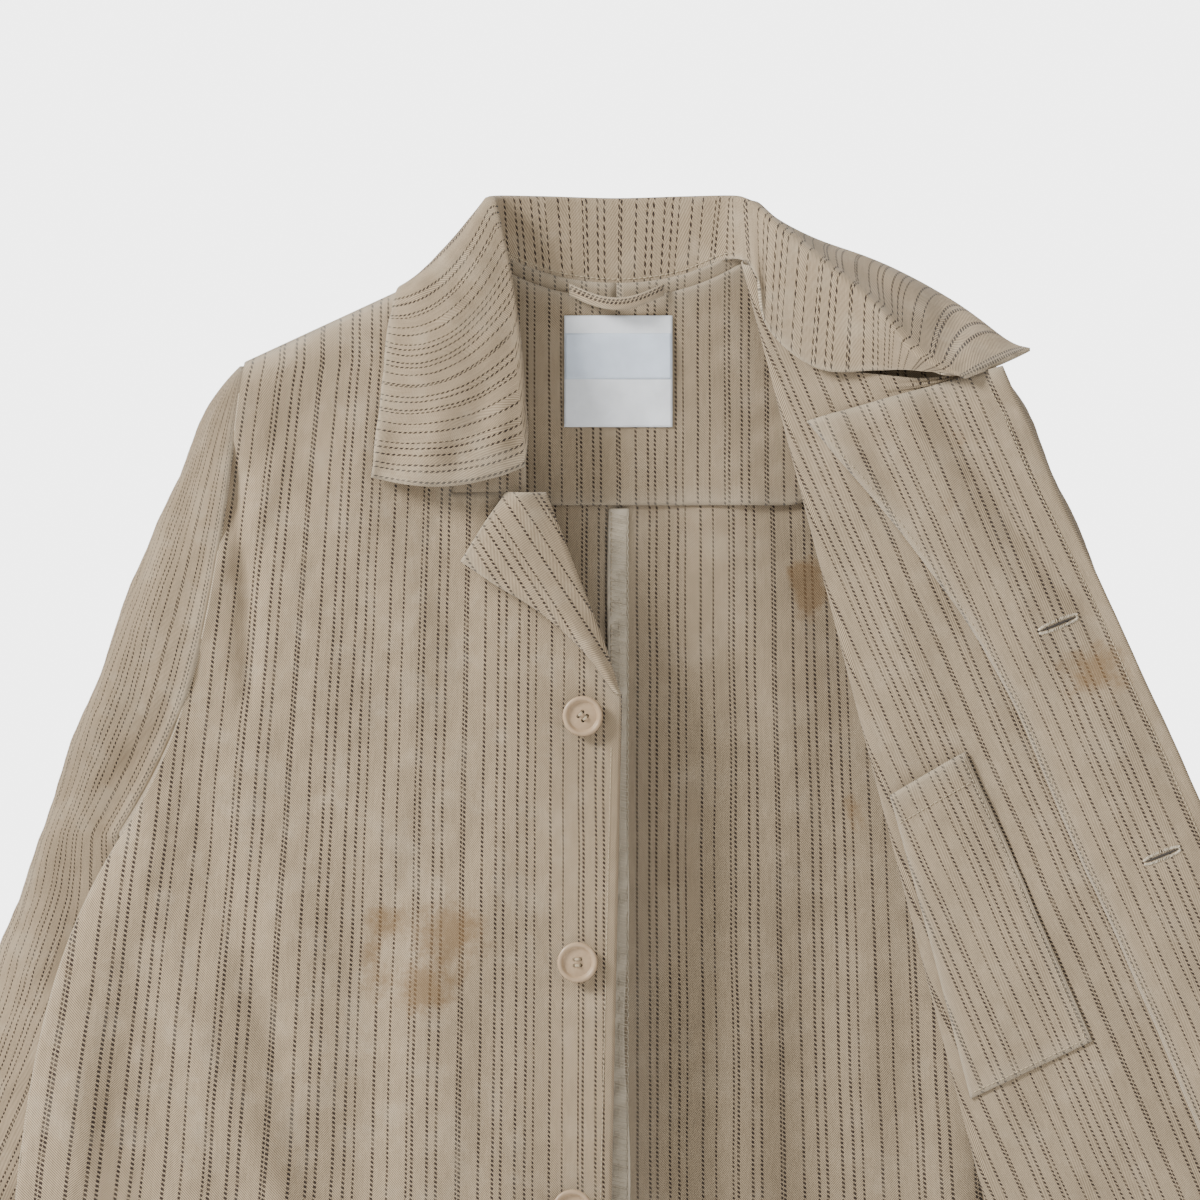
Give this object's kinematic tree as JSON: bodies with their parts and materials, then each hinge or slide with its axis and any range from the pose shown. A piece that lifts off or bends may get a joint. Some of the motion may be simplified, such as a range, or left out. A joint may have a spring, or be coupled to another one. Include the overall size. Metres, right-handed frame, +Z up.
{
  "type": "work jacket",
  "caption": "Striped herringbone-cotton work jacket hanging open, one front turned back, with collar, lapels, sleeves, patch pockets and four-hole buttons.",
  "frame": {"origin": "middle of the neck at the height of the back neck seam, where a hanger holds the jacket", "axes": "+Z up, +X towards the wearer's left, -Y out of the jacket's front"},
  "size_m": [0.9417, 0.2, 0.8418],
  "materials": {
    "twill": "matte woven herringbone",
    "twill_inside": "matte woven herringbone, wrong side",
    "tape": "matte woven tape",
    "label": "smooth woven",
    "button": "satin, horn coloured",
    "thread": "matte thread"
  },
  "bodies": {
    "body": {"back_panel_left": "twill", "back_panel_right": "twill", "back_facing": "twill_inside", "centre_back_tape": "tape", "label": "label", "collar_stand_back_left": "twill_inside", "collar_stand_back_right": "twill_inside", "collar_leaf_back_left": "twill", "collar_leaf_back_right": "twill", "right_front_side": "twill", "left_front_side": "twill", "collar_leaf_right": "twill", "collar_stand_right": "twill_inside"},
    "left_front": {"left_front_panel": "twill", "left_facing": "twill_inside", "buttonhole_1": "thread", "buttonhole_2": "thread", "buttonhole_3": "thread", "buttonhole_4": "thread", "inner_pocket": "twill_inside", "left_hip_pocket": "twill", "collar_stand_left": "twill_inside", "collar_leaf_left": "twill"},
    "right_front": {"right_front_panel": "twill", "right_facing": "twill_inside", "right_lapel": "twill", "right_hip_pocket": "twill", "button_thread_1": "thread", "button_thread_2": "thread", "button_thread_3": "thread", "button_thread_4": "thread"},
    "sleeve_left": {"sleeve_top_left": "twill", "sleeve_under_left": "twill"},
    "sleeve_right": {"sleeve_top_right": "twill", "sleeve_under_right": "twill"},
    "hang_loop": {"hang_loop": "twill_inside"},
    "button_1": {"button_1": "button"},
    "button_2": {"button_2": "button"},
    "button_3": {"button_3": "button"},
    "button_4": {"button_4": "button"}
  },
  "joints": [
    {"name": "left_front_turn", "type": "hinge", "parent": "body", "child": "left_front", "pos_m": [0.074, -0.0155, 0.02], "axis": [0.2497, -0.0361, -0.9677], "range_deg": [0, 150]},
    {"name": "right_front_swing", "type": "hinge", "parent": "body", "child": "right_front", "pos_m": [-0.1, -0.02129, -0.13], "axis": [-0.2765, -0.0349, -0.9604], "range_deg": [0, 110]},
    {"name": "sleeve_left_raise", "type": "hinge", "parent": "body", "child": "sleeve_left", "pos_m": [0.223, 0, -0.049], "axis": [0, -1, 0], "range_deg": [0, 25]},
    {"name": "sleeve_right_raise", "type": "hinge", "parent": "body", "child": "sleeve_right", "pos_m": [-0.223, 0, -0.049], "axis": [0, 1, 0], "range_deg": [0, 25]},
    {"name": "hang_loop_flip", "type": "hinge", "parent": "body", "child": "hang_loop", "pos_m": [0, 0.004, -0.0012], "axis": [-1, 0, 0], "range_deg": [0, 150]},
    {"name": "button_1_turn", "type": "hinge", "parent": "right_front", "child": "button_1", "pos_m": [-0.02027, -0.02375, -0.26], "axis": [0, -1, 0], "range_deg": [-35, 35]},
    {"name": "button_2_turn", "type": "hinge", "parent": "right_front", "child": "button_2", "pos_m": [-0.02334, -0.02988, -0.406], "axis": [0, -1, 0], "range_deg": [-35, 35]},
    {"name": "button_3_turn", "type": "hinge", "parent": "right_front", "child": "button_3", "pos_m": [-0.02641, -0.03601, -0.552], "axis": [0, -1, 0], "range_deg": [-35, 35]},
    {"name": "button_4_turn", "type": "hinge", "parent": "right_front", "child": "button_4", "pos_m": [-0.02947, -0.04214, -0.698], "axis": [0, -1, 0], "range_deg": [-35, 35]}
  ]
}
